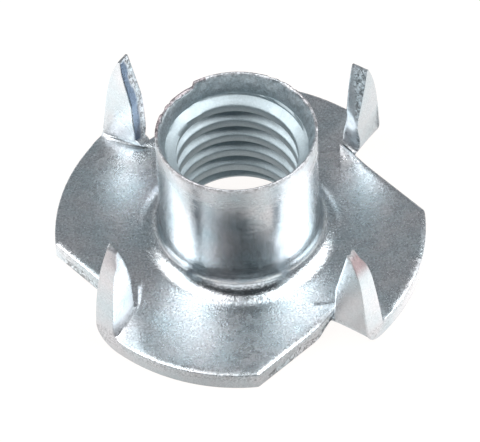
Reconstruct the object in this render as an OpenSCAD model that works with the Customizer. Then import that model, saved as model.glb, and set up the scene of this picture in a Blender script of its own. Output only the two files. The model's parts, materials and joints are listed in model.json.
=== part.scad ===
// Four-prong tee nut, drawn and stamped from one sheet of steel.
// The underside of the flange lies on z = 0 and the barrel stands on the Z axis.
// The corners where the four straight cuts meet the rim lie on +X, +Y, -X and -Y.

/* [Thread] */
// Bore measured over the thread crests
bore_d = 8.2; // [7:0.1:9]

/* [Barrel] */
// Outside diameter of the barrel
barrel_d = 10.9; // [10.2:0.1:13]
// Overall height, from the underside of the flange to the lip
nut_h = 12.1; // [9:0.1:16]
// Width of the flat lip at the top of the barrel
lip_w = 0.2; // [0.1:0.05:0.5]
// Depth of the flared lead-in above the thread
lead_in_h = 2.1; // [0.6:0.1:2.4]
// Chamfer on the outer edge of the lip
lip_chamfer = 0.12; // [0.05:0.01:0.2]
// Fillet between the barrel and the flange
root_r = 1.5; // [0.8:0.1:2]
// Rounded mouth at the underside, where the sheet was drawn up
mouth_r = 2.7; // [1:0.1:2.8]

/* [Flange] */
// Diameter of the round flange
flange_d = 25.4; // [23:0.1:34]
// Thickness of the sheet
sheet_t = 1.4; // [1:0.05:1.8]
// Distance from the axis to each straight cut
cut_offset = 9.95; // [9.2:0.05:10.5]
// Rounding of the corner between a cut and the rim
corner_r = 0.45; // [0.2:0.05:1]

/* [Prongs] */
// Number of prongs round the flange
prong_count = 4; // [3:1:4]
// Height of a prong's tip above the underside of the flange
prong_h = 8.9; // [7:0.1:12]
// Inner radius of the fold at a prong's foot
fold_r = 0.65; // [0.4:0.05:1]
// Direction of the fold, measured from the radius through the corner
fold_angle = 51; // [48:1:56]
// Distance from the corner to the prong's outer face, square to the fold
fold_offset = 6.45; // [6:0.05:7]
// Gap between the line of the straight cut and the foot of the prong's cut edge
cut_gap = 0.4; // [0.3:0.05:0.45]
// Width of a prong at the top of its fold
prong_w = 2.4; // [2:0.1:2.8]
// Height at which the cut edge starts to slope
shoulder_h = 4.9; // [4:0.1:6]
// Lean of the cut edge at that height, measured along the fold
shoulder_in = 0.2; // [0:0.05:0.4]
// Place of the chisel tip, measured along the fold from the foot of the cut edge
tip_start = 1.2; // [0.8:0.05:1.6]
// Width of the chisel tip
tip_w = 0.35; // [0.2:0.05:0.6]

/* [Hidden] */
zinc = "#b9c2c8";
// Finest facet count for true circles
round_fn = 96;
// Overshoot of cutting solids past the faces that they cut
over = 1;
// Length of flat sheet that a folded prong shares with the flange
lap = 0.5;

bore_r = bore_d / 2;
barrel_r = barrel_d / 2;
flange_r = flange_d / 2;
fold_out_r = sheet_t + fold_r;
pitch_angle = 360 / prong_count;

// Unit vectors: square to the cut, along the cut towards the corner,
// along the fold towards the rim, and square to the fold towards the notch
corner = [flange_r, 0];
cut_angle = acos(cut_offset / flange_r);
cut_normal = [cos(cut_angle), sin(cut_angle)];
cut_dir = [sin(cut_angle), -cos(cut_angle)];
fold_dir = [cos(fold_angle), sin(fold_angle)];
fold_normal = [sin(fold_angle), -cos(fold_angle)];

// Point of the outer face at a given distance from the cut line
function on_face(gap, inset) =
    let (base = corner - (fold_offset + inset) * fold_normal)
    let (short = cut_offset + gap - base * cut_normal)
    base + short / (fold_dir * cut_normal) * fold_dir;

// Foot of the prong's cut edge, and the inner end of the notch
prong_foot = on_face(cut_gap, 0);
notch_end = on_face(0, fold_out_r + lap / 2);

// Rounding of the corner: its centre, and an arc from the cut round to the rim
corner_run = sqrt(pow(flange_r - corner_r, 2) - pow(cut_offset - corner_r, 2));
corner_centre = (cut_offset - corner_r) * cut_normal + corner_run * cut_dir;
corner_end = atan2(corner_centre.y, corner_centre.x);
corner_steps = 6;
function corner_point(i) =
    let (turn = cut_angle + i / corner_steps * (corner_end - cut_angle))
    corner_centre + corner_r * [cos(turn), sin(turn)];
corner_arc = [for (i = [0 : corner_steps - 1]) corner_point(i)];
// The last facet runs on past the rim, so that it crosses it cleanly
corner_exit = corner_point(corner_steps) + 2 * (corner_point(corner_steps) - corner_point(corner_steps - 1));

// Wedge of sheet that is cut and folded up to leave a notch
module notch_2d() {
    polygon(concat(
        [notch_end],
        corner_arc,
        [corner_exit, corner * 2, notch_end + flange_d * fold_dir]
    ));
}

// Wall, root fillet and lip of the barrel, as a half section
module barrel_section() {
    difference() {
        union() {
            translate([bore_r, 0])
                square([barrel_r - bore_r, nut_h]);
            translate([bore_r, 0])
                square([barrel_r + root_r - bore_r, sheet_t]);
            difference() {
                translate([barrel_r, 0])
                    square([root_r, sheet_t + root_r]);
                translate([barrel_r + root_r, sheet_t + root_r])
                    circle(r = root_r, $fn = round_fn);
            }
        }
        // Rounded mouth at the underside
        difference() {
            translate([bore_r - over, -over])
                square([mouth_r + over, mouth_r + over]);
            translate([bore_r + mouth_r, mouth_r])
                circle(r = mouth_r, $fn = round_fn);
        }
        // Flared lead-in above the thread
        polygon([
            [bore_r, nut_h - lead_in_h],
            [barrel_r - lip_w, nut_h],
            [barrel_r - lip_w, nut_h + over],
            [bore_r - over, nut_h + over],
            [bore_r - over, nut_h - lead_in_h]
        ]);
        // Chamfer on the outer edge of the lip
        polygon([
            [barrel_r - lip_chamfer, nut_h],
            [barrel_r, nut_h - lip_chamfer],
            [barrel_r + over, nut_h - lip_chamfer],
            [barrel_r + over, nut_h + over],
            [barrel_r - lip_chamfer, nut_h + over]
        ]);
    }
}

module barrel() {
    rotate_extrude($fn = round_fn)
        barrel_section();
}

// Flat flange with its notches, open in the middle for the barrel
module flange() {
    difference() {
        cylinder(r = flange_r, h = sheet_t, $fn = round_fn);
        translate([0, 0, -over])
            cylinder(r = barrel_r, h = sheet_t + 2 * over, $fn = round_fn);
        for (i = [0 : prong_count - 1])
            rotate(i * pitch_angle)
                translate([0, 0, -over])
                    linear_extrude(sheet_t + 2 * over)
                        notch_2d();
    }
}

// Sheet folded up through a right angle, in the fold's own frame:
// X square to the fold, Y along it, with the outer face on x = 0
module folded_sheet() {
    run = 2 * prong_w + 2 * fold_out_r;
    translate([0, -over, 0]) {
        intersection() {
            translate([-fold_out_r, 0, fold_out_r])
                rotate([-90, 0, 0])
                    difference() {
                        cylinder(r = fold_out_r, h = run, $fn = round_fn);
                        translate([0, 0, -over])
                            cylinder(r = fold_r, h = run + 2 * over, $fn = round_fn);
                    }
            translate([-fold_out_r, 0, 0])
                cube([fold_out_r, run, fold_out_r]);
        }
        translate([-sheet_t, 0, fold_out_r])
            cube([sheet_t, run, prong_h - fold_out_r]);
        translate([-fold_out_r - lap, 0, 0])
            cube([lap, run, sheet_t]);
    }
}

// Outline of a prong, seen square to its outer face
module prong_2d() {
    polygon([
        [0, -over],
        [0, fold_out_r],
        [shoulder_in, shoulder_h],
        [tip_start, prong_h],
        [tip_start + tip_w, prong_h],
        [prong_w, fold_out_r],
        [prong_w + fold_out_r, -over]
    ]);
}

module prong() {
    intersection() {
        translate(prong_foot)
            rotate(fold_angle - 90)
                intersection() {
                    folded_sheet();
                    translate([over, 0, 0])
                        rotate([90, 0, -90])
                            mirror([1, 0, 0])
                                linear_extrude(fold_out_r + lap + 2 * over)
                                    prong_2d();
                }
        translate([0, 0, -over])
            cylinder(r = flange_r, h = prong_h + 2 * over, $fn = round_fn);
    }
}

module tee_nut() {
    color(zinc) {
        barrel();
        flange();
        for (i = [0 : prong_count - 1])
            rotate(i * pitch_angle)
                prong();
    }
}

tee_nut();
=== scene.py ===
# %% [markdown]
# # A four-prong tee nut, made the way the press makes it
# The real nut is one piece of sheet steel. A press blanks a round disc with four tongues, draws a barrel up
# out of the middle, threads the barrel, folds the tongues up into prongs, and the finished nut is plated
# with bright zinc. The mesh here is made in nearly the same order: a flat blank with its tongues still
# lying flat, then thickness, the barrel, its thread, and last the fold. Working flat first keeps every edge
# easy to reach, and the fold then bends the edges with the sheet, as it does on the real part.

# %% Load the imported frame
import json
import math

import bmesh
import bpy
from mathutils import Matrix, Vector, noise


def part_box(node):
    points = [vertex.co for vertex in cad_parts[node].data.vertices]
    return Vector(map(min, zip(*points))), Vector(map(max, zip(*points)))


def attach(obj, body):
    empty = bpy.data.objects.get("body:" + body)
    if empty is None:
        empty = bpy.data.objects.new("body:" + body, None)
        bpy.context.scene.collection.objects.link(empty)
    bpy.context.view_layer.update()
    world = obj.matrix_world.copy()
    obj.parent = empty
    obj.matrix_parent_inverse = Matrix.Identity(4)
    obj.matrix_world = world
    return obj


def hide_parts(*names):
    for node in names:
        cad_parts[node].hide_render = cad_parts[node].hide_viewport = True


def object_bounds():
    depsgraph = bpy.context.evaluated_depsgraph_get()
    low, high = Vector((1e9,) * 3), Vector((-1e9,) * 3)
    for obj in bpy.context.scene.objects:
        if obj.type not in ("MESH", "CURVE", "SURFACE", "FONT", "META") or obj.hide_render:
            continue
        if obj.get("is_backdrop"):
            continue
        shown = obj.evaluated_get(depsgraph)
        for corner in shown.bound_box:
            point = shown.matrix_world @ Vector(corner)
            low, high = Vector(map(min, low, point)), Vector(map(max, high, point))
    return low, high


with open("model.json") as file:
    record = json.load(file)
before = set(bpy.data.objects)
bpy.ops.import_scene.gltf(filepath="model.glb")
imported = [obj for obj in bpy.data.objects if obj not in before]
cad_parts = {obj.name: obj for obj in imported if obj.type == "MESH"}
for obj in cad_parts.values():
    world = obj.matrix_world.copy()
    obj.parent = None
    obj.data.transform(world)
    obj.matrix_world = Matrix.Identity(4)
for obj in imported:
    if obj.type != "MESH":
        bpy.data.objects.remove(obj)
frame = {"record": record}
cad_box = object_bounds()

print("CAD box, mm:", [round(1000 * (hi - lo), 2) for lo, hi in zip(*cad_box)])

# %% [markdown]
# ## Sizes
# The mesh is worked out in millimetres and scaled to metres once, at the end. The overall sizes are read
# from the CAD node and its mounts, so the mesh can't drift from the CAD part. Most of the others are the
# named sizes of the CAD source, given again where they are first used. A few fine ones, such as the width
# of a tip or of the lip, are this mesh's own.

# %% Read the driving sizes
MM = 0.001
low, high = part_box("tee_nut")
mounts = {m["name"]: m for m in frame["record"]["mounts"]}

flange_r = (high[0] - low[0]) / 2 / MM
nut_h = (high[2] - low[2]) / MM
bore_r = mounts["thread"]["dims"]["r_mm"]
barrel_r = mounts["barrel"]["dims"]["r_mm"]
sheet_t = mounts["seat"]["pos_m"][2] / MM
prong_count = 4
print("flange radius", round(flange_r, 2), "height", round(nut_h, 2), "sheet", round(sheet_t, 2))

# %% [markdown]
# ## The outline of the blank
# Each quarter of the blank repeats: a stretch of round rim, a straight cut that runs in from the corner,
# and a tongue that will become a prong. Three directions describe it. `cut_normal` is square to the
# straight cut, `fold_dir` runs along the fold, and `fold_normal` points across the fold, the way the tongue
# lies while flat.

# %% Directions of the cut and the fold
cut_offset = 9.95
corner_r = 0.45
fold_r = 0.65
fold_angle = math.radians(51)
fold_offset = 6.45
cut_gap = 0.4

fold_out_r = sheet_t + fold_r
cut_angle = math.acos(cut_offset / flange_r)
cut_normal = Vector((math.cos(cut_angle), math.sin(cut_angle), 0))
cut_dir = Vector((math.sin(cut_angle), -math.cos(cut_angle), 0))
fold_dir = Vector((math.cos(fold_angle), math.sin(fold_angle), 0))
fold_normal = Vector((math.sin(fold_angle), -math.cos(fold_angle), 0))

# %% [markdown]
# The fold has its own flat coordinates: `u` is the distance past the line where the bend starts, and `v`
# runs along that line towards the rim. A point of the tongue is drawn in `u, v` and placed on the sheet by
# `on_sheet`.

# %% Flat coordinates of a tongue
face_base = flange_r * Vector((1, 0, 0)) - fold_offset * fold_normal
short = cut_offset + cut_gap - face_base.dot(cut_normal)
prong_foot = face_base + short / fold_dir.dot(cut_normal) * fold_dir
bend_start = prong_foot - fold_out_r * fold_normal


def on_sheet(u, v):
    return bend_start + u * fold_normal + v * fold_dir


def flat_uv(point):
    away = point - bend_start
    return away.dot(fold_normal), away.dot(fold_dir)


def cut_line_v(u):
    gap = cut_offset - on_sheet(u, 0).dot(cut_normal)
    return gap / fold_dir.dot(cut_normal)


reach = bend_start.dot(fold_dir)
rim_v = math.sqrt(flange_r**2 - bend_start.dot(fold_normal) ** 2) - reach
print("bend starts at", [round(c, 2) for c in bend_start], "and meets the rim at v =", round(rim_v, 2))

# %% [markdown]
# The tongue's length is the prong's height unrolled: the bend takes the arc along the middle of the sheet,
# and the rest stands straight. One edge of the tongue is sheared, with a shoulder and a slope to the tip.
# The other is part of the blanked rim, and sweeps to the tip in one gentle curve that starts along the rim.

# %% Edges of the tongue
prong_h = 8.9
shoulder_h = 4.9
shoulder_in = 0.2
tip_start = 1.2
tip_w = 0.2
slit_w = 0.1
bend_steps = 14
shank_steps = 40
rim_bow = 0.4
rim_sweep = 5

bend_len = (fold_r + sheet_t / 2) * math.pi / 2
tongue_len = bend_len + prong_h - fold_out_r
shoulder_u = bend_len + shoulder_h - fold_out_r
rim_slope = -bend_start.dot(fold_normal) / (reach + rim_v)


def sheared_v(u):
    if u <= bend_len:
        return max(0.0, cut_line_v(u) + slit_w)
    if u <= shoulder_u:
        return shoulder_in * (u - bend_len) / (shoulder_u - bend_len)
    return shoulder_in + (tip_start - shoulder_in) * (u - shoulder_u) / (tongue_len - shoulder_u)


def blanked_v(u):
    end_v = tip_start + tip_w
    bow = end_v - rim_v - (1 - rim_bow) * rim_slope * tongue_len
    return rim_v + rim_slope * u * (1 - rim_bow * u / tongue_len) + bow * (u / tongue_len) ** rim_sweep


rows = [bend_len * i / bend_steps for i in range(bend_steps + 1)]
rows += [bend_len + (tongue_len - bend_len) * i / shank_steps for i in range(1, shank_steps + 1)]
print("tongue", round(tongue_len, 2), "mm long, in", len(rows), "rows")

# %% [markdown]
# A quarter of the blank is one flat face. Its round stretches are arcs, and the short slit between the cut
# and the tongue ends a little way into the bend, where the shear stops. The quarter begins at a seam in the
# plain flange, well away from the cut and the tongue, so that no seam crosses a detail.

# %% Corner of the cut and seam of the quarter
root_r = 1.5
mouth_r = 2.7
ring_r = barrel_r + root_r

corner_run = math.sqrt((flange_r - corner_r) ** 2 - (cut_offset - corner_r) ** 2)
corner_centre = (cut_offset - corner_r) * cut_normal + corner_run * cut_dir
corner_end = math.atan2(corner_centre.y, corner_centre.x)
seam = corner_end - math.radians(20)
quarter = 2 * math.pi / prong_count
print("seam at", round(math.degrees(seam), 1), "degrees, opening radius", round(ring_r, 2))

# %% Outline of one quarter
ring_steps = 72
corner_steps = 6
cut_steps = 50
seam_steps = 12
before_steps = 26
after_steps = 34
slit_row = 10


def arc(centre, radius, start, end, steps):
    turns = [start + (end - start) * i / steps for i in range(steps + 1)]
    return [centre + radius * Vector((math.cos(a), math.sin(a), 0)) for a in turns]


def line(start, end, steps):
    return [start.lerp(end, i / steps) for i in range(1, steps)]


origin = Vector((0, 0, 0))
rim_start = on_sheet(0, rim_v)
rim_angle = math.atan2(rim_start.y, rim_start.x)
ring = arc(origin, ring_r, seam + quarter, seam, ring_steps)
rim_before = arc(origin, flange_r, seam, corner_end, before_steps)
corner = arc(corner_centre, corner_r, corner_end, cut_angle, corner_steps)
rim_after = arc(origin, flange_r, rim_angle, seam + quarter, after_steps)
slit_u = rows[slit_row]
slit_v = cut_line_v(slit_u)
slit_end = on_sheet(slit_u, slit_v)
slit_curve = [(0.35, 0.15), (0.5, 0.5), (0.35, 0.85)]
slit_round = [on_sheet(slit_u - slit_w * a, slit_v + slit_w * b) for a, b in slit_curve]

outline = list(ring)
outline += line(ring[-1], rim_before[0], seam_steps)
outline += rim_before[:-1]
outline += corner
outline += line(corner[-1], slit_end, cut_steps)
outline += [slit_end]
outline += slit_round
outline += [on_sheet(u, sheared_v(u)) for u in rows[slit_row:]]
outline += [on_sheet(u, blanked_v(u)) for u in reversed(rows[1:])]
outline += rim_after
outline += line(rim_after[-1], ring[0], seam_steps)
print("outline has", len(outline), "points")

# %% [markdown]
# The face gets a narrow inset first. That keeps a clean strip along the sheared and blanked edges, so
# rounding them later isn't disturbed by anything else. The inside is then sliced into small cells with
# `bisect_plane`: straight slices across the flange, and slices that run along the fold in the tongue, where
# the sheet will bend. The parts to slice are gathered in a dict, which holds each of them once and keeps
# them in the order of the faces.

# %% Fill, inset and slice the quarter
edge_strip = 0.13
strip_area = 0.2
cell = 0.25
fold_snap = 0.02
row_snap = 0.04


def slice_faces(bm, faces, point, normal, snap=1e-4):
    parts = dict.fromkeys(faces)
    for f in faces:
        parts.update(dict.fromkeys(f.edges))
        parts.update(dict.fromkeys(f.verts))
    bmesh.ops.bisect_plane(bm, geom=list(parts), dist=snap, plane_co=point, plane_no=normal)


def in_tongue(face):
    u, v = flat_uv(face.calc_center_median())
    return u > 0 and v > min(0, cut_line_v(u)) + slit_w / 2


bm = bmesh.new()
outline_points = [bm.verts.new(p) for p in outline]
blank = bm.faces.new(outline_points)
blank.normal_update()
bmesh.ops.inset_region(bm, faces=[blank], thickness=edge_strip, use_boundary=True, use_even_offset=True)
slice_faces(bm, [blank], on_sheet(0, 0), fold_normal, fold_snap)

for u in rows[1:-1]:
    tongue = [f for f in bm.faces if in_tongue(f)]
    slice_faces(bm, tongue, on_sheet(u, 0), fold_normal, row_snap)

seam_x = Vector((math.cos(seam), math.sin(seam), 0))
seam_y = Vector((-math.sin(seam), math.cos(seam), 0))
strip = {f for f in bm.faces if f.calc_area() < strip_area and not in_tongue(f)}
for axis in (seam_x, seam_y):
    for i in range(-2, int(flange_r / cell) + 1):
        inner = [f for f in bm.faces if not in_tongue(f) and f not in strip]
        slice_faces(bm, inner, axis * (i + 0.5) * cell, axis)
print("quarter:", len(bm.faces), "faces")

# %% [markdown]
# One `spin` with copies turns the quarter into the whole blank. The copies meet along the seams, where
# their doubled points are merged.

# %% Copy the quarter round
everything = bm.verts[:] + bm.edges[:] + bm.faces[:]
bmesh.ops.spin(
    bm,
    geom=everything,
    cent=origin,
    axis=(0, 0, 1),
    angle=quarter * (prong_count - 1),
    steps=prong_count - 1,
    use_duplicate=True,
)
bmesh.ops.remove_doubles(bm, verts=bm.verts, dist=0.002)
print("blank:", len(bm.faces), "faces")

# %% [markdown]
# ## Thickness
# Extruding the flat blank upwards by the sheet's thickness gives it a top and walls, and the first faces
# stay as its underside. The walls round the middle are taken away, because the barrel grows out of that
# opening.

# %% Give the blank its thickness
raised = bmesh.ops.extrude_face_region(bm, geom=bm.faces[:], use_keep_orig=True)
top_points = [part for part in raised["geom"] if isinstance(part, bmesh.types.BMVert)]
bmesh.ops.translate(bm, verts=top_points, vec=(0, 0, sheet_t))


def on_circle(vert, radius):
    return abs(vert.co.xy.length - radius) < 0.01


inner_walls = [f for f in bm.faces if all(on_circle(v, ring_r) for v in f.verts)]
bmesh.ops.delete(bm, geom=inner_walls, context="FACES")
bmesh.ops.recalc_face_normals(bm, faces=bm.faces[:])
print("thick blank:", len(bm.faces), "faces,", len(inner_walls), "inner walls removed")

# %% [markdown]
# The walls are cut into rows, so that a sheared edge can show its two bands: a smooth burnished one where
# the punch slid past, and a torn one below it. Then the long edges are rounded, as tumbling and plating
# leave them.

# %% Cut the walls into rows and round their edges
wall_rows = 8
edge_round = 0.07

upright = [e for e in bm.edges if abs(e.verts[0].co.z - e.verts[1].co.z) > sheet_t / 2]
bmesh.ops.subdivide_edges(bm, edges=upright, cuts=wall_rows - 1, use_grid_fill=True)


def is_rim(edge):
    level = abs(edge.verts[0].co.z - edge.verts[1].co.z) < 1e-4
    return level and len(edge.link_faces) == 2 and edge.calc_face_angle() > 1


rims = [e for e in bm.edges if is_rim(e)]
bmesh.ops.bevel(
    bm,
    geom=rims,
    offset=edge_round,
    offset_type="OFFSET",
    segments=2,
    profile=0.5,
    affect="EDGES",
    clamp_overlap=False,
    material=-1,
)
print("rounded", len(rims), "edges:", len(bm.faces), "faces")

# %% [markdown]
# ## The barrel
# The barrel is drawn out of the same sheet, so its wall runs into the flange in a fillet outside and a
# rounded mouth underneath. Both are turned from a profile with `spin`, in as many steps as the opening in
# the sheet has points, so that the rings meet point to point. The inside is left open where the thread
# goes.

# %% Turning helpers
around = ring_steps * prong_count


def turned(bm, profile):
    points = [bm.verts.new(Matrix.Rotation(seam, 3, "Z") @ Vector((r, 0, z))) for r, z in profile]
    edges = [bm.edges.new(pair) for pair in zip(points, points[1:])]
    bmesh.ops.spin(
        bm,
        geom=points + edges,
        cent=origin,
        axis=(0, 0, 1),
        angle=2 * math.pi,
        steps=around,
        use_merge=True,
    )


def bend(centre_r, centre_z, radius, start, end, steps):
    turns = [math.radians(start + (end - start) * i / steps) for i in range(steps + 1)]
    return [(centre_r + radius * math.cos(a), centre_z + radius * math.sin(a)) for a in turns]


print("a turned profile takes", around, "steps round")

# %% [markdown]
# The drawn wall thins towards its lip. Inside, the lead-in narrows from the lip down to the thread: a curve
# that is steep at first and then nearly straight.

# %% Turn the outside, the lip and the lead-in
lip_w = 0.16
lip_round = 0.07
lip_drop = 0.05
lead_r = 4.82
lead_steps = 12
lead_flare = 1.6
fillet_steps = 12
wall_steps = 20
lip_steps = 4
thread_top = nut_h - 2.1

outside = bend(ring_r, sheet_t + root_r, root_r, -90, -180, fillet_steps)
wall_top = nut_h - lip_round
fillet_top = outside[-1][1]
outside += [(barrel_r, fillet_top + (wall_top - fillet_top) * i / wall_steps) for i in range(1, wall_steps)]
outside += bend(barrel_r - lip_round, wall_top, lip_round, 0, 90, lip_steps)
lip_in = barrel_r - lip_w
outside += [(barrel_r - lip_round - 0.02, nut_h), (lip_in, nut_h - lip_drop)]
for i in range(1, lead_steps + 1):
    down = i / lead_steps
    flare = (1 - down) ** lead_flare
    height = nut_h - lip_drop + (thread_top - nut_h + lip_drop) * down
    outside += [(lead_r + (lip_in - lead_r) * flare, height)]
turned(bm, outside)
print("outside and lead-in:", len(outside), "profile points")

# %% Turn the mouth and join both to the flange
mouth_in = bore_r + mouth_r
mouth_z = 0.85
mouth_steps = 12
mouth_turn = math.degrees(math.acos((mouth_r - mouth_z) / mouth_r))
underneath = [(ring_r, 0), ((ring_r + mouth_in) / 2, 0)]
underneath += bend(mouth_in, mouth_r, mouth_r, 270, 270 - mouth_turn, mouth_steps)
mouth_ring_r = underneath[-1][0]
turned(bm, underneath)
bmesh.ops.remove_doubles(bm, verts=bm.verts, dist=0.003)
print("barrel joined:", len(bm.faces), "faces; mouth meets the thread at r =", round(mouth_ring_r, 3))

# %% [markdown]
# ## The thread
# One pitch of the thread's outline is carried round the bore with a `spin` that also climbs, which makes a
# true helix. Points that would stand inside the rounded mouth or the plain lead-in are moved out to them,
# so the thread fades at both ends as a tapped one does. The ends are then cut level and bridged to the
# barrel.

# %% Profile of one tooth
pitch = 25.4 / 16
turn_steps = 144
thread_depth = 0.66
crest = 0.40 * pitch
root = 0.13 * pitch
flank = (pitch - crest - root) / 2
edge = 0.05

tooth = [(0, 0), (crest / 2 - edge, 0), (crest / 2, 0.02), (crest / 2 + edge, edge * 1.6)]
tooth += [(crest / 2 + flank / 2, thread_depth / 2), (crest / 2 + flank - edge, thread_depth - edge * 1.2)]
tooth += [(crest / 2 + flank, thread_depth), (pitch / 2, thread_depth)]
tooth += [(pitch - rise, depth) for rise, depth in reversed(tooth[:-1])]
print("pitch", pitch, "mm, crest", round(crest, 3), "root", round(root, 3), "flank", round(flank, 3))

# %% Sweep the thread
spare_turns = 2
start_below = 1.5 * pitch

thread_turns = math.ceil(nut_h / pitch) + spare_turns
helix = bmesh.new()
start = [helix.verts.new((bore_r + depth, 0, rise - start_below)) for rise, depth in tooth]
start += [helix.edges.new(pair) for pair in zip(start, start[1:])]
bmesh.ops.spin(
    helix,
    geom=start,
    cent=origin,
    axis=(0, 0, 1),
    dvec=(0, 0, pitch / turn_steps),
    angle=2 * math.pi * thread_turns,
    steps=turn_steps * thread_turns,
)
bmesh.ops.remove_doubles(helix, verts=helix.verts, dist=0.002)
print("helix of", thread_turns, "turns:", len(helix.faces), "faces")

# %% Fade and trim its ends
lead_slope = 1.8
lead_overlap = 0.45


def mouth_at(z):
    drop = mouth_r - max(0, z)
    return mouth_in - math.sqrt(max(0, mouth_r**2 - drop**2)) if drop > 0 else 0


def lead_at(z):
    return min(lead_r, bore_r + (z - thread_top + lead_overlap) * lead_slope)


for v in helix.verts:
    r = v.co.xy.length
    free = max(r, mouth_at(v.co.z), lead_at(v.co.z))
    v.co.xy *= free / r

for z, up in ((mouth_z, -1), (thread_top, 1)):
    whole = helix.verts[:] + helix.edges[:] + helix.faces[:]
    bmesh.ops.bisect_plane(
        helix, geom=whole, dist=1e-4, plane_co=(0, 0, z), plane_no=(0, 0, up), clear_outer=True
    )
thread_ends = [round(end(v.co.z for v in helix.verts), 3) for end in (min, max)]
print("thread:", len(helix.faces), "faces, heights", thread_ends)

# %% Join the thread to the barrel
carrier = bpy.data.meshes.new("thread_carrier")
helix.to_mesh(carrier)
helix.free()
bm.from_mesh(carrier)
bpy.data.meshes.remove(carrier)

for z in (mouth_z, thread_top):
    open_edges = [e for e in bm.edges if e.is_boundary and all(abs(v.co.z - z) < 0.005 for v in e.verts)]
    joined = bmesh.ops.bridge_loops(bm, edges=open_edges)
    print("bridged", len(open_edges), "edges with", len(joined["faces"]), "faces")
bmesh.ops.recalc_face_normals(bm, faces=bm.faces[:])
print("open edges left:", sum(not e.is_manifold for e in bm.edges))

# %% [markdown]
# ## Torn edges
# Where a punch shears steel, it first slides past and burnishes the wall, and then the rest of the
# thickness tears. `torn` marks the torn share of each point, for the material to read, and a second layer
# marks the polished share, where the material paints a darker blue as a painted reflection. All of it is
# done while the sheet is still flat, when every wall stands straight. The nut is worked one quarter at a
# time: a point is turned into the first quarter, looked at there, and turned back.

# %% Layers, quarters and noise
torn = bm.verts.layers.float.new("torn")
# marks the burnished band for a painted reflection, a darker blue in the colour
burnished_painted_reflection = bm.verts.layers.float.new("burnished_painted_reflection")


def quarter_of(point):
    return math.floor((math.atan2(point.y, point.x) - seam) / quarter) % prong_count


def into_first(point, k):
    return Matrix.Rotation(-k * quarter, 3, "Z") @ point


def back_to(point, k):
    return Matrix.Rotation(k * quarter, 3, "Z") @ point


def grain(point, size, shift=0.0):
    return noise.noise(point / size + Vector((shift, 2.3 * shift, 0)))


def soft_step(x):
    x = min(1, max(0, x))
    return x * x * (3 - 2 * x)


print("one quarter turns by", round(math.degrees(quarter)), "degrees")

# %% [markdown]
# Three walls are sheared: the straight cut in the rim, whose tear fades out towards the corner, the
# tongue's own cut edge, and its tip. For a point on one of them, `sheared_wall` gives the direction into
# the sheet and how far the tear shows.

# %% Find the sheared walls
on_wall = 0.004
corner_fade = 1.2
tip_share = 0.6


def sheared_wall(point):
    u, v = flat_uv(point)
    if abs(point.dot(cut_normal) - cut_offset) < on_wall and v < 0:
        return -cut_normal, soft_step((corner_run - point.dot(cut_dir)) / corner_fade)
    if slit_u < u <= tongue_len and abs(v - sheared_v(u)) < on_wall:
        return fold_dir, 1.0
    if abs(u - tongue_len) < on_wall:
        return -fold_normal, tip_share
    return None, 0.0


print("straight cut ends", round(corner_run, 2), "mm from its middle")

# %% [markdown]
# No two tongues tear alike, so each of the four has its own numbers: the smooth share of the wall at its
# foot and at its tip, how dark the painted reflection on its burnished band is, and how scuffed the whole
# edge is. The line between the bands wanders a little, and the torn part is eaten into by noise of two sizes.

# %% Mark and roughen the sheared walls
tear_depth = 0.08
tear_grain = 0.5
smooth_foot = [0.78, 0.52, 0.45, 0.45]
smooth_tip = [-0.05, 0.5, 0.45, 0.45]
# how dark a painted reflection each prong's burnished band gets
painted_band_reflection = [0.0, 1.0, 0.4, 0.1]
scuffed = [0.15, 0.0, 0.0, 0.0]
wander = 0.35
wander_size = 0.9
band_blur = 0.12

sheared_points = 0
for v in bm.verts:
    if v.co.xy.length < ring_r + 0.2:
        continue
    k = quarter_of(v.co)
    local = into_first(v.co, k)
    inward, fade = sheared_wall(local)
    if inward is None:
        continue
    u = flat_uv(local)[0]
    along = soft_step((u - bend_len) / (tongue_len - bend_len))
    smooth_share = smooth_foot[k] + (smooth_tip[k] - smooth_foot[k]) * along**3
    edge_line = sheet_t * (1 - smooth_share) + wander * grain(v.co * Vector((1, 1, 0.3)), wander_size)
    share = min(1, max(0, (edge_line - v.co.z) / band_blur)) * fade
    on_tongue = u > slit_u and inward == fold_dir
    v[torn] = max(share, scuffed[k]) if on_tongue else share
    v[burnished_painted_reflection] = (1 - share) * (painted_band_reflection[k] if on_tongue else 0)
    depth = tear_depth * (0.5 + 0.9 * grain(v.co, tear_grain) + 0.5 * grain(v.co, tear_grain / 3, 7))
    v.co += back_to(inward, k) * max(0, depth) * share
    sheared_points += 1
print(sheared_points, "points on sheared walls")

# %% [markdown]
# ## The fold
# Before it bends, the sheet already shows what the die did: its top is rolled down a little along the rim
# and along the straight cut, where the die pulled it as it sheared. The cut counts only past the slit's
# end, and the rim's roll fades out where the fold begins.

# %% Roll the top edges down
roll_drop = 0.08
roll_w = 0.4
rim_fade = 1.2
cut_fade = 1.5


def rolled(point, z):
    at_rim = soft_step(1 - (flange_r - point.xy.length) / roll_w)
    near_rim = at_rim * soft_step(-flat_uv(point)[0] / rim_fade)
    near_cut = 0
    past_slit = (point - slit_end).dot(cut_dir)
    if past_slit > 0:
        near_rim = at_rim
        at_cut = soft_step(1 - (cut_offset - point.dot(cut_normal)) / roll_w)
        near_cut = at_cut * soft_step(past_slit / cut_fade)
    return z - roll_drop * max(near_rim, near_cut) ** 2 * max(0, z / sheet_t)


print("the rim's top edge rolls down by", roll_drop, "mm over", roll_w, "mm")

# %% [markdown]
# A tongue bends about a line, so each of its points swings round the same centre: the outside of the bend
# has the larger radius, and the sheet keeps its thickness. Past the bend the tongue stands straight.

# %% Bend one point


def bent(u, z):
    phi = min(u, bend_len) / bend_len * math.pi / 2
    rho = fold_out_r - z
    straight = max(0, u - bend_len)
    return rho * math.sin(phi), fold_out_r - rho * math.cos(phi) + straight


print("fold radius", round(fold_r, 2), "mm inside,", round(fold_out_r, 2), "mm outside")

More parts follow.
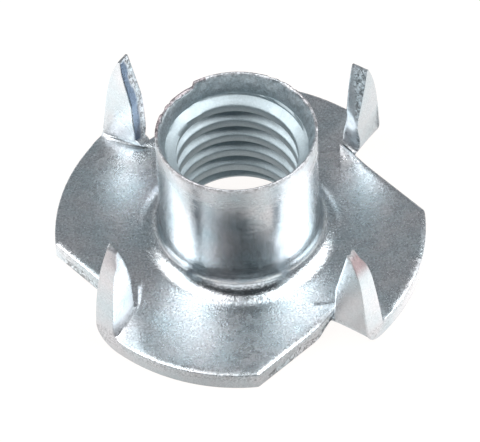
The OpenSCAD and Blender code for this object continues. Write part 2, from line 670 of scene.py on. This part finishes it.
# %% [markdown]
# No two prongs come off the press alike either. Each list holds one kind of change, with one number per
# prong:
# - `tip_thin` and `neck` are shares of the thickness, lost at the tip and at the waist above the bend, and
#   `back_thin` is planed off the back towards the tip, in millimetres;
# - `lean` tilts the prong towards its sheared edge, `drag` drags the back of the waist the same way,
#   `foot_in` narrows the foot at that edge, `widened` widens it at the blanked edge, and `skew` does so on
#   the inner face only;
# - `shorter` lowers the tip, or raises it where negative, and `end_fall` and `inner_fall` slope the tip
#   down towards the blanked edge and towards the inner face.
#
# Changing the tongue while it lies flat keeps each of these a plain sum.

# %% How the prongs differ
tip_thin = [0.0, 0.1, 0.16, 0.16]
neck = [0.14, 0.0, 0.0, 0.0]
back_thin = [0.12, 0.25, 0.5, 0.35]
lean = [0.0, 0.0, 0.15, 0.32]
drag = [0.45, 0.0, 0.0, 0.0]
foot_in = [0.0, 0.2, 0.0, 0.0]
widened = [0.0, 0.32, 0.0, 0.15]
skew = [0.0, 0.0, 0.0, 0.32]
shorter = [0.2, -0.3, -0.4, 0.05]
end_fall = [0.0, 0.0, 0.2, 0.45]
inner_fall = [0.1, 0.0, 0.45, 0.2]
tip_run = 1.1
fall_run = 2.5
waist_at = 0.3
waist_w = 0.3
waist_ease = 0.35
back_start = bend_len + 1.2
print("prong heights, mm:", [round(prong_h - drop, 2) for drop in shorter])

# %% Shape one point of a flat tongue


def shaped(u, v, z, k):
    rise = max(0, u - bend_len) / (tongue_len - bend_len)
    low_edge, high_edge = sheared_v(u), blanked_v(u)
    across = min(1, max(0, (v - low_edge) / (high_edge - low_edge)))
    deep = z / sheet_t
    near_tip = soft_step((u - tongue_len + tip_run) / tip_run)
    near_end = soft_step((u - tongue_len + fall_run) / fall_run)
    waist = math.exp(-(((rise - waist_at) / waist_w) ** 2)) * soft_step(rise / waist_ease)
    z *= 1 - tip_thin[k] * near_tip - neck[k] * waist
    z += back_thin[k] * (1 - deep) * max(0, (u - back_start) / (tongue_len - back_start)) ** 1.5
    v -= lean[k] * rise**1.3 * (1 - 0.5 * across)
    v -= drag[k] * waist * (1 - deep) * (1 - across)
    v += (widened[k] * across + foot_in[k] * (1 - across)) * soft_step(u / bend_len) * (1 - rise)
    v += skew[k] * deep * across * soft_step(u / bend_len) * (1 - rise)
    u -= shorter[k] * rise + (end_fall[k] * across + inner_fall[k] * deep) * near_end
    return max(u, 1e-6), v, z


print("waist at", round(bend_len + waist_at * (tongue_len - bend_len), 2), "mm along the tongue")

# %% [markdown]
# The clear passivate over the zinc is a very thin film, and where it dried thicker it looks faintly pink.
# `rosy` marks that on two tips, along their blanked edge.

# %% Mark the pink tips
rosy_tip = [0.0, 0.0, 0.22, 0.65]
rosy_run = 2.2
rosy_fade = 1.6
rosy_edge = 0.85
rosy = bm.verts.layers.float.new("rosy")


def rosy_share(point, k):
    u, v = flat_uv(point)
    if u < bend_len or v < sheared_v(u) + 0.03:
        return 0
    across = (v - sheared_v(u)) / (blanked_v(u) - sheared_v(u))
    near_tip = soft_step((u - tongue_len + rosy_run) / rosy_fade)
    return rosy_tip[k] * near_tip * soft_step((across - rosy_edge) / 0.1)


print("pink shares:", rosy_tip)

# %% [markdown]
# The flange moves as well. Beside the slit's end it is dragged along with the bend, and round each fold it
# is drawn up in a low swell, higher at some prongs than at others.

# %% Place one point of the sheet
pull_w = 1.7
pull_run = 2.2
swell = [0.2, 0.36, 0.06, 0.04]
swell_w = 1.5
swell_off = 0.4


def formed(point, k):
    u, v = flat_uv(point)
    z = point.z
    if u > 0 and v > min(0, cut_line_v(u)) + slit_w / 2:
        u, v, z = shaped(u, v, z, k)
    lift = swell[k] * math.exp(-((math.hypot(min(u, 0.0), v - swell_off) / swell_w) ** 2))
    lift *= soft_step((point.xy.length - barrel_r - 0.8) / 2)
    slit_middle = min(0, cut_line_v(u)) + slit_w / 2
    if u <= 0 or v <= slit_middle:
        z = rolled(point, z)
    new_u, new_z = u, z
    if u > 0 and v > slit_middle:
        new_u, new_z = bent(u, z)
    elif u > 0:
        near = soft_step(1 - (slit_middle - v) / pull_w) * soft_step(1 - (u - slit_u) / pull_run)
        pulled = min(u, slit_u) * near
        moved_u, moved_z = bent(pulled, z)
        new_u, new_z = u + (moved_u - pulled) * near, moved_z
        lift *= math.exp(-((max(0, u) / swell_w) ** 2))
    place = on_sheet(new_u, v)
    return Vector((place.x, place.y, new_z + lift))


print("highest swell", max(swell), "mm, over", swell_w, "mm")

# %% [markdown]
# On the inside of a fold the slices crowd together, and the drag and the swell can crease them. So that
# side is eased with `smooth_vert` after the bend, and only that side, so the edges keep their places.

# %% Bend the tongues up
fold_ease = 10


def is_inner_fold(vert):
    if vert.co.z < sheet_t - 0.001 or vert.co.xy.length < barrel_r + 1.2:
        return False
    if not all(f.normal.z > 0.999 for f in vert.link_faces):
        return False
    u, v = flat_uv(into_first(vert.co, quarter_of(vert.co)))
    return -1.2 < u < bend_len + 0.8 and v > cut_line_v(max(0, u)) + 0.2


bm.normal_update()
inner_fold = [v for v in bm.verts if is_inner_fold(v)]
print(len(inner_fold), "points on the inner side of the folds")
for v in bm.verts:
    if v.co.xy.length < barrel_r + 0.3:
        continue
    k = quarter_of(v.co)
    local = into_first(v.co, k)
    v[rosy] = rosy_share(local, k)
    v.co = back_to(formed(local, k), k)
for i in range(fold_ease):
    bmesh.ops.smooth_vert(bm, verts=inner_fold, factor=0.5, use_axis_x=True, use_axis_y=True, use_axis_z=True)
spans = [max(v.co[i] for v in bm.verts) - min(v.co[i] for v in bm.verts) for i in range(3)]
print("box after folding:", [round(span, 2) for span in spans])

# %% [markdown]
# ## The lip
# The drawn lip of the barrel is thin and never even. All of it runs lower towards the back, as when the
# sheet was drawn a little off centre, and on the left of the back it tore and left a step. Noise nicks it
# all round, most of all by the tear, and also buckles the lead-in, which no tool has touched.

# %% Tear and nick the lip
nick_depth = 0.3
nick_size = 0.5
quiet = 0.3
tear_from = math.radians(117)
tear_to = math.radians(178)
tear_drop = 0.45
lip_tilt = 0.7
lead_end = thread_top + 0.3
buckle = 0.014
buckle_size = 0.45

for v in bm.verts:
    if v.co.z < lead_end or v.co.xy.length > barrel_r + 0.3:
        continue
    bearing = math.atan2(v.co.y, v.co.x)
    spot = Vector((v.co.x, v.co.y, 0))
    through = (bearing - tear_from) / (tear_to - tear_from)
    fall = tear_drop * (1 - 0.75 * through) if 0 < through < 1 else 0
    near = 1 if -0.15 < through < 1.2 else quiet
    rough = max(0, grain(spot, nick_size) + 0.6 * grain(spot, nick_size / 3, 4) - 0.12)
    high_share = soft_step((v.co.z - nut_h + 0.7) / 0.6)
    tilt_share = (v.co.z - lead_end) / (nut_h - lead_end)
    v.co.z -= lip_tilt * (1 + math.sin(bearing)) / 2 * tilt_share
    v.co.z -= (fall + nick_depth * near * rough) * high_share
    v.co.xy *= 1 - 0.03 * near * rough * high_share
    if v.co.xy.length < lip_in - 0.01:
        spot = Vector((v.co.x, v.co.y, v.co.z / 3))
        v.co.xy *= 1 + buckle * grain(spot, buckle_size, 9) * soft_step(tilt_share * 3)
    v[torn] = max(v[torn], soft_step((high_share - 0.75) / 0.2) * (0.5 + near / 2))
    v[rosy] = 0.5 * near * soft_step((high_share - 0.6) / 0.3)
print("highest point of the lip:", round(max(v.co.z for v in bm.verts), 3))

# %% [markdown]
# ## Where the plate is bright and where it is satin
# The steel under the plate isn't equally smooth, so four layers tell the material what was done where:
# - `satin` is the roughness: drawing polishes the barrel's lower wall, the rolled flange stays satin, the
#   inside of a fold is stretched dull, and the tapped bore is the dullest;
# - the grain layer is how far the zinc's crystals show, in the bump and in painted glints and shade, which
#   is most on the flange's top;
# - `tapped` is the bore, whose plate is thin and grey-blue;
# - `drawn` is the barrel's wall, where the die left level streaks.

# %% Mark the zones
satin = bm.verts.layers.float.new("satin")
grain_and_glints = bm.verts.layers.float.new("grain_and_glints")
tapped = bm.verts.layers.float.new("tapped")
drawn = bm.verts.layers.float.new("drawn")
polished = 0.15
top_satin = 0.32
sheet_satin = 0.27
fold_satin = 0.42
bore_satin = 0.56
polish_end = 9.2
wave_h = 1.2

for v in bm.verts:
    r = v.co.xy.length
    if r < lip_in - 0.02:
        flared = soft_step((v.co.z - thread_top + 0.1) / 0.3)
        v[satin] = bore_satin - 0.14 * flared
        v[grain_and_glints] = 0.25 + 0.3 * flared
        v[tapped] = 1 - 0.4 * flared
        v[torn] = max(v[torn], 0.25 * flared)
    elif r < barrel_r + 0.05:
        wave = wave_h * grain(v.co * Vector((1, 1, 0.5)), 1.6)
        v[satin] = polished + (top_satin - polished) * soft_step((v.co.z + wave - polish_end) / 1.6)
        v[grain_and_glints] = 0.4
        v[drawn] = 1
    else:
        v[satin] = polished + (sheet_satin - polished) * soft_step((r - barrel_r) / 2.4)
        u, along = flat_uv(into_first(v.co, quarter_of(v.co)))
        at_fold = soft_step((u + 0.9) / 0.7) * soft_step((fold_out_r + 0.6 - v.co.z) / 0.8) * (along > 0)
        v[satin] += (fold_satin - sheet_satin) * at_fold
        v[grain_and_glints] = 1 if 0.5 * sheet_t < v.co.z < sheet_t + 0.6 else 0.3
roughness = [v[satin] for v in bm.verts]
print("roughness from", round(min(roughness), 2), "to", round(max(roughness), 2))

# %% [markdown]
# ## Finish the mesh
# The mesh is scaled to metres, its normals are made to point outwards, and edges sharper than 38 degrees
# are kept crisp while everything else is shaded smooth.

# %% Make the object
crisp_angle = math.radians(38)

bmesh.ops.dissolve_degenerate(bm, edges=bm.edges[:], dist=0.002)
bmesh.ops.recalc_face_normals(bm, faces=bm.faces[:])
bmesh.ops.scale(bm, verts=bm.verts, vec=(MM, MM, MM))
mesh = bpy.data.meshes.new("tee_nut_body")
bm.to_mesh(mesh)
bm.free()
mesh.shade_smooth()
mesh.set_sharp_from_angle(angle=crisp_angle)
nut = bpy.data.objects.new("tee_nut_body", mesh)
bpy.context.scene.collection.objects.link(nut)
mesh.calc_loop_triangles()
print("tee nut:", len(mesh.polygons), "faces,", len(mesh.loop_triangles), "triangles")

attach(nut, "root")
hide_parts("tee_nut")

# %% [markdown]
# ## Bright zinc plate
# The nut is mild steel with a bright zinc plating. Fresh zinc is a bluish mirror that is never quite flat:
# the steel below shows through as a soft orange peel, its own crystals glitter, the brightener leaves faint
# warm and cool patches, and handling smears it. Where the punch tore the steel the plate is rough and
# catches the light in grains. A metal needs no more than a colour, a roughness and a bump, so each of these
# goes into one or more of the three. The glitter and the grains of light are also painted into the colour,
# as painted glints and painted shade.

# %% Colour and node helpers


def linear(hex_colour):
    parts = [int(hex_colour[i : i + 2], 16) / 255 for i in (1, 3, 5)]
    return [c / 12.92 if c <= 0.04045 else ((c + 0.055) / 1.055) ** 2.4 for c in parts] + [1.0]


def add(tree, kind, inputs=None, **settings):
    made = tree.nodes.new(kind)
    for name, value in settings.items():
        setattr(made, name, value)
    for name, value in (inputs or {}).items():
        if isinstance(value, bpy.types.NodeSocket):
            tree.links.new(value, made.inputs[name])
        else:
            made.inputs[name].default_value = value
    return made


print("zinc's cool patch:", [round(c, 3) for c in linear("#c6d1d6")])

# %% [markdown]
# Object coordinates are in metres, so they are turned to millimetres once, and each pattern is then scaled
# by one over its real size. The tint wanders between a warm and a cool grey in patches of about 2.6 mm.

# %% Zinc plate: the tint
patch_mm = 2.6

zinc = bpy.data.materials.new("bright_zinc_plate")
zinc.use_nodes = True
tree = zinc.node_tree
tree.nodes.clear()

coords = add(tree, "ShaderNodeTexCoord")
in_mm = add(tree, "ShaderNodeMapping", {"Vector": coords.outputs["Object"], "Scale": (1000, 1000, 1000)})
place = in_mm.outputs["Vector"]

patches = add(tree, "ShaderNodeTexNoise", {"Vector": place, "Scale": 1 / patch_mm, "Detail": 3.0})
tint = add(tree, "ShaderNodeValToRGB", {"Fac": patches.outputs["Fac"]})
tint.color_ramp.elements[0].position = 0.34
tint.color_ramp.elements[0].color = linear("#d2d3d6")
tint.color_ramp.elements[1].position = 0.66
tint.color_ramp.elements[1].color = linear("#c6d1d6")
print("tint patches of", patch_mm, "mm")

# %% [markdown]
# Two bumps lie on each other: the orange peel of the rolled steel, and the crystals. Crystals of plated
# zinc are a few thousandths of a millimetre at most, too fine to show, so they are drawn at 0.14 mm. The
# grain layer scales them, and the same crystal noise gives the painted glints and shade further down.

# %% Zinc plate: orange peel and crystals
peel_mm = 0.32
crystal_mm = 0.14

peel = add(tree, "ShaderNodeTexNoise", {"Vector": place, "Scale": 1 / peel_mm, "Detail": 2.0})
peel_bump = add(tree, "ShaderNodeBump", {"Height": peel.outputs["Fac"], "Strength": 0.5, "Distance": 0.00002})
crystals = add(
    tree, "ShaderNodeTexNoise", {"Vector": place, "Scale": 1 / crystal_mm, "Detail": 3.0, "Roughness": 0.7}
)
grain_and_glint_zone = add(tree, "ShaderNodeAttribute", attribute_name="grain_and_glints")
crystal_height = add(
    tree, "ShaderNodeMath", {0: crystals.outputs["Fac"], 1: grain_and_glint_zone.outputs["Fac"]}, operation="MULTIPLY"
)
crystal_bump = add(
    tree,
    "ShaderNodeBump",
    {
        "Height": crystal_height.outputs[0],
        "Normal": peel_bump.outputs["Normal"],
        "Strength": 0.8,
        "Distance": 0.000022,
    },
)
print("peel", peel_mm, "mm, crystals", crystal_mm, "mm")

# %% [markdown]
# Roughness starts from the `satin` layer. Smears of handling raise and lower it, and on the barrel's wall
# the level streaks of drawing do too: a noise stretched ten times longer round the barrel than up it.

# %% Zinc plate: roughness
smear_mm = 0.7
streak_long = 1.6
streak_high = 0.16

smear = add(tree, "ShaderNodeTexNoise", {"Vector": place, "Scale": 1 / smear_mm, "Detail": 3.0})
smeared = add(
    tree,
    "ShaderNodeMapRange",
    {"Value": smear.outputs["Fac"], "From Min": 0.2, "From Max": 0.8, "To Min": -0.05, "To Max": 0.06},
)
zone = add(tree, "ShaderNodeAttribute", attribute_name="satin")
zone_rough = add(tree, "ShaderNodeMath", {0: smeared.outputs[0], 1: zone.outputs["Fac"]}, operation="ADD")
level = add(
    tree, "ShaderNodeMapping", {"Vector": place, "Scale": (1 / streak_long, 1 / streak_long, 1 / streak_high)}
)
streaks = add(tree, "ShaderNodeTexNoise", {"Vector": level.outputs["Vector"], "Scale": 1.0, "Detail": 3.0})
wall = add(tree, "ShaderNodeAttribute", attribute_name="drawn")
streaked = add(
    tree,
    "ShaderNodeMapRange",
    {"Value": streaks.outputs["Fac"], "From Min": 0.3, "From Max": 0.7, "To Min": -0.07, "To Max": 0.08},
)
wall_rough = add(
    tree, "ShaderNodeMath", {0: streaked.outputs[0], 1: wall.outputs["Fac"]}, operation="MULTIPLY"
)
rough = add(tree, "ShaderNodeMath", {0: zone_rough.outputs[0], 1: wall_rough.outputs[0]}, operation="ADD")
print("streaks", streak_long, "by", streak_high, "mm")

# %% [markdown]
# Torn steel has a broken grain of about 0.3 mm, which a distorted noise gives. The same noise makes its
# bump here and, further down, its painted glints and painted shade in the pits.

# %% Zinc plate: torn steel
torn_mm = 0.3

tear = add(tree, "ShaderNodeAttribute", attribute_name="torn")
tear_noise = add(
    tree, "ShaderNodeTexNoise", {"Vector": place, "Scale": 1 / torn_mm, "Detail": 3.0, "Distortion": 1.2}
)
tear_height = add(
    tree, "ShaderNodeMath", {0: tear_noise.outputs["Fac"], 1: tear.outputs["Fac"]}, operation="MULTIPLY"
)
tear_bump = add(
    tree,
    "ShaderNodeBump",
    {
        "Height": tear_height.outputs[0],
        "Normal": crystal_bump.outputs["Normal"],
        "Strength": 0.8,
        "Distance": 0.00005,
    },
)
tear_rough = add(tree, "ShaderNodeMapRange", {"Value": tear.outputs["Fac"], "To Min": 0.0, "To Max": 0.2})
all_rough = add(tree, "ShaderNodeMath", {0: rough.outputs[0], 1: tear_rough.outputs[0]}, operation="ADD")
print("torn grain of", torn_mm, "mm")

# %% [markdown]
# Three layers change the tint: the burnished band gets a darker blue, a painted reflection rather than a
# colour of the metal, the thick passivate is pink, and the bore is a duller grey-blue. A Mix node in its
# colour mode takes its colours at sockets 6 and 7 and gives the result at 2.

# %% Zinc plate: the painted reflection and the colours of the worked zones
painted_reflection_depth = 0.85

painted_reflection_attr = add(tree, "ShaderNodeAttribute", attribute_name="burnished_painted_reflection")
painted_reflection_share = add(tree, "ShaderNodeMath", {0: painted_reflection_attr.outputs["Fac"], 1: painted_reflection_depth}, operation="MULTIPLY")
# painted reflection: the burnished band's colour is mixed towards a darker blue
painted_reflection_mix = add(
    tree,
    "ShaderNodeMix",
    {0: painted_reflection_share.outputs[0], 6: tint.outputs["Color"], 7: linear("#4f637c")},
    data_type="RGBA",
)
pink = add(tree, "ShaderNodeAttribute", attribute_name="rosy")
passivate = add(
    tree,
    "ShaderNodeMix",
    {0: pink.outputs["Fac"], 6: painted_reflection_mix.outputs[2], 7: linear("#8d6668")},
    data_type="RGBA",
)
bore = add(tree, "ShaderNodeAttribute", attribute_name="tapped")
inside = add(
    tree,
    "ShaderNodeMix",
    {0: bore.outputs["Fac"], 6: passivate.outputs[2], 7: linear("#b4c0c5")},
    data_type="RGBA",
)
print("zones: burnished, rosy and tapped")

# %% [markdown]
# Last come painted glints and shade. Each crystal faces its own way, so its colour is painted lighter or
# darker than its neighbours' as a painted glint or a painted shade, and a torn wall gets painted bright
# facets and painted shade in black pits, with the widest range of all.

# %% Zinc plate: painted glints and shade
painted_glint_depth = 0.9
painted_tear_depth = 0.8

# painted glints and painted shade: the crystal noise brightens and darkens the colour where the grain layer
# allows
painted_crystal_glints = add(
    tree,
    "ShaderNodeMapRange",
    {"Value": crystals.outputs["Fac"], "From Min": 0.3, "From Max": 0.7, "To Min": 0.5, "To Max": 1.3},
)
painted_glint_share = add(
    tree, "ShaderNodeMath", {0: grain_and_glint_zone.outputs["Fac"], 1: painted_glint_depth}, operation="MULTIPLY"
)
glint_painted_colour = add(
    tree,
    "ShaderNodeMix",
    {0: painted_glint_share.outputs[0], 6: inside.outputs[2], 7: painted_crystal_glints.outputs[0]},
    data_type="RGBA",
    blend_type="MULTIPLY",
)
# painted bright facets and painted shade in the pits of the torn walls
painted_tear_glints_and_shade = add(
    tree,
    "ShaderNodeMapRange",
    {"Value": tear_noise.outputs["Fac"], "From Min": 0.4, "From Max": 0.58, "To Min": 0.28, "To Max": 1.35},
)
painted_tear_share = add(tree, "ShaderNodeMath", {0: tear.outputs["Fac"], 1: painted_tear_depth}, operation="MULTIPLY")
painted_glints_and_pit_shade = add(
    tree,
    "ShaderNodeMix",
    {0: painted_tear_share.outputs[0], 6: glint_painted_colour.outputs[2], 7: painted_tear_glints_and_shade.outputs[0]},
    data_type="RGBA",
    blend_type="MULTIPLY",
)
print("speck depth", painted_glint_depth, "on the plate,", painted_tear_depth, "where torn")

# %% Zinc plate: the metal
plate = add(
    tree,
    "ShaderNodeBsdfPrincipled",
    {
        "Base Color": painted_glints_and_pit_shade.outputs[2],
        "Metallic": 1.0,
        "Roughness": all_rough.outputs[0],
        "Normal": tear_bump.outputs["Normal"],
    },
)
add(tree, "ShaderNodeOutputMaterial", {"Surface": plate.outputs["BSDF"]})
nut.data.materials.append(zinc)
print("material", zinc.name, "with", len(tree.nodes), "nodes")

# %% [markdown]
# ## Floor and studio light
# The nut stands on a plain white board in a light tent. Bright metal shows what is around it far more than
# it shows light, so what it reflects is made with care: a long softbox on each side, a low strip in front,
# and a dim sky.

# %% Floor
floor_mesh = bpy.data.meshes.new("floor")
floor_bm = bmesh.new()
bmesh.ops.create_grid(floor_bm, x_segments=1, y_segments=1, size=3)
bmesh.ops.translate(floor_bm, verts=floor_bm.verts, vec=(0, 0, -0.00001))
floor_bm.to_mesh(floor_mesh)
floor_bm.free()
floor = bpy.data.objects.new("floor", floor_mesh)
bpy.context.scene.collection.objects.link(floor)
floor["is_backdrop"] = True
print("floor:", [round(side, 2) for side in floor.dimensions])

# %% [markdown]
# The board's white comes mostly from a glow of its own, which is even to the eye. What the metal sees of
# it is painted light: dim near the nut, a painted shadow, brighter out to both sides, and brightest in
# two opposite corners, painted light standing in for white cards that are not in the scene. That corner
# light is what the faces of two of the prongs show.

# %% Board material
table = bpy.data.materials.new("white_table_board")
table.use_nodes = True
tree = table.node_tree
board = tree.nodes["Principled BSDF"]
board.inputs["Base Color"].default_value = linear("#4a4948")
board.inputs["Roughness"].default_value = 0.9
board.inputs["Specular IOR Level"].default_value = 0.0
board.inputs["Emission Color"].default_value = linear("#fffcfa")
seen = add(tree, "ShaderNodeLightPath")
floor_coords = add(tree, "ShaderNodeTexCoord")
floor_axes = add(tree, "ShaderNodeSeparateXYZ", {"Vector": floor_coords.outputs["Object"]})
sideways = add(tree, "ShaderNodeMath", {0: floor_axes.outputs["X"]}, operation="ABSOLUTE")
# painted light, seen only by the metal: dim near the nut, brighter to both sides and in two corners
painted_side_light = add(
    tree,
    "ShaderNodeMapRange",
    {"Value": sideways.outputs[0], "From Min": 0.003, "From Max": 0.013, "To Min": 0.52, "To Max": 1.1},
)
corner_side = add(
    tree, "ShaderNodeMath", {0: floor_axes.outputs["X"], 1: floor_axes.outputs["Y"]}, operation="MULTIPLY"
)
painted_corner_light = add(
    tree,
    "ShaderNodeMapRange",
    {
        "Value": corner_side.outputs[0],
        "From Min": 0.00006,
        "From Max": -0.00003,
        "To Min": 1.0,
        "To Max": 1.35,
    },
)
painted_board_light = add(
    tree, "ShaderNodeMath", {0: painted_side_light.outputs[0], 1: painted_corner_light.outputs[0]}, operation="MULTIPLY"
)
glow = add(
    tree,
    "ShaderNodeMix",
    {0: seen.outputs["Is Camera Ray"], 2: painted_board_light.outputs[0], 3: 0.97},
)
tree.links.new(glow.outputs[0], board.inputs["Emission Strength"])
floor.data.materials.append(table)
print("board material with", len(tree.nodes), "nodes")

# %% [markdown]
# A softbox is an area light. Its energy is worked out from the radiance wanted and its size, so that it can
# be made larger without getting brighter.

# %% Lights


def softbox(name, direction, distance, width, height, radiance):
    data = bpy.data.lights.new(name, "AREA")
    data.shape = "RECTANGLE"
    data.size = width
    data.size_y = height
    data.energy = radiance * math.pi * width * height
    box_light = bpy.data.objects.new(name, data)
    away = Vector(direction).normalized()
    box_light.location = away * distance
    box_light.rotation_euler = away.to_track_quat("Z", "Y").to_euler()
    bpy.context.scene.collection.objects.link(box_light)
    print(name, round(data.energy, 3), "W")


softbox("softbox_left", (-0.62, -0.05, 0.785), 0.4, 0.26, 0.4, 5.0)
softbox("softbox_right", (0.62, -0.05, 0.785), 0.4, 0.26, 0.4, 5.0)
softbox("front_strip", (0, -0.96, 0.26), 0.5, 0.7, 0.16, 0.9)

# %% [markdown]
# The tent's cloth is the world: dark in front, lighter towards the back, and with an even light band low
# down all round. The dark front, mirrored by way of the flange, gives the barrel its dark middle.

# %% World
low_cloth = (0.34, 0.36, 0.38, 1)
front_cloth = (0.05, 0.055, 0.06, 1)
middle_cloth = (0.13, 0.14, 0.15, 1)
back_cloth = (0.30, 0.315, 0.33, 1)

world = bpy.data.worlds.new("studio")
bpy.context.scene.world = world
world.use_nodes = True
sky = world.node_tree.nodes["Background"]
view_way = add(world.node_tree, "ShaderNodeTexCoord")
ways = add(world.node_tree, "ShaderNodeSeparateXYZ", {"Vector": view_way.outputs["Generated"]})
front_back = add(world.node_tree, "ShaderNodeMapRange", {"Value": ways.outputs["Y"], "From Min": -1.0})
tent = add(world.node_tree, "ShaderNodeValToRGB", {"Fac": front_back.outputs[0]})
tent.color_ramp.elements[0].position = 0.2
tent.color_ramp.elements[0].color = front_cloth
tent.color_ramp.elements[1].position = 0.8
tent.color_ramp.elements[1].color = back_cloth
middle = tent.color_ramp.elements.new(0.5)
middle.color = middle_cloth
low_band = add(
    world.node_tree, "ShaderNodeMapRange", {"Value": ways.outputs["Z"], "From Min": 0.25, "From Max": 0.55}
)
whole_sky = add(
    world.node_tree,
    "ShaderNodeMix",
    {0: low_band.outputs[0], 6: low_cloth, 7: tent.outputs["Color"]},
    data_type="RGBA",
)
world.node_tree.links.new(whole_sky.outputs[2], sky.inputs["Color"])
sky.inputs["Strength"].default_value = 1.0
bpy.context.scene.view_settings.view_transform = "Standard"
print("world with", len(world.node_tree.nodes), "nodes")

# %% [markdown]
# ## Camera
# A long lens from a good way off, looking down at about 52 degrees, as small parts are usually shown. The
# camera sits along `back` from its target, and `roll` tips it a little about that line.

# %% Camera
azimuth = math.radians(-3.55)
elevation = math.radians(51.73)
roll = math.radians(-2.454)
target = Vector((0, 0, 2.0)) * MM
stand_off = 337.3 * MM

back = Vector(
    (math.sin(azimuth) * math.cos(elevation), -math.cos(azimuth) * math.cos(elevation), math.sin(elevation))
)
right = Vector((math.cos(azimuth), math.sin(azimuth), 0))
up = back.cross(right)
side = right * math.cos(roll) + up * math.sin(roll)
head = up * math.cos(roll) - right * math.sin(roll)

lens = bpy.data.cameras.new("camera")
lens.sensor_width = 36
lens.lens = 370.6
camera = bpy.data.objects.new("camera", lens)
axes = Matrix((side, head, back)).transposed()
camera.matrix_world = Matrix.Translation(target + back * stand_off) @ axes.to_4x4()
bpy.context.scene.collection.objects.link(camera)
bpy.context.scene.camera = camera
print("camera at", [round(c, 3) for c in camera.matrix_world.translation])

# %% [markdown]
# ## The sizes side by side, and finish
# The visual model has to stay inside the CAD box, so both boxes are written down side by side.

# %% Write the sizes and finish
view_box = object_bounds()
for name, (lo, hi) in (("cad", cad_box), ("visual", view_box)):
    print(name, "mm:", [round(1000 * c, 3) for c in lo], [round(1000 * c, 3) for c in hi])
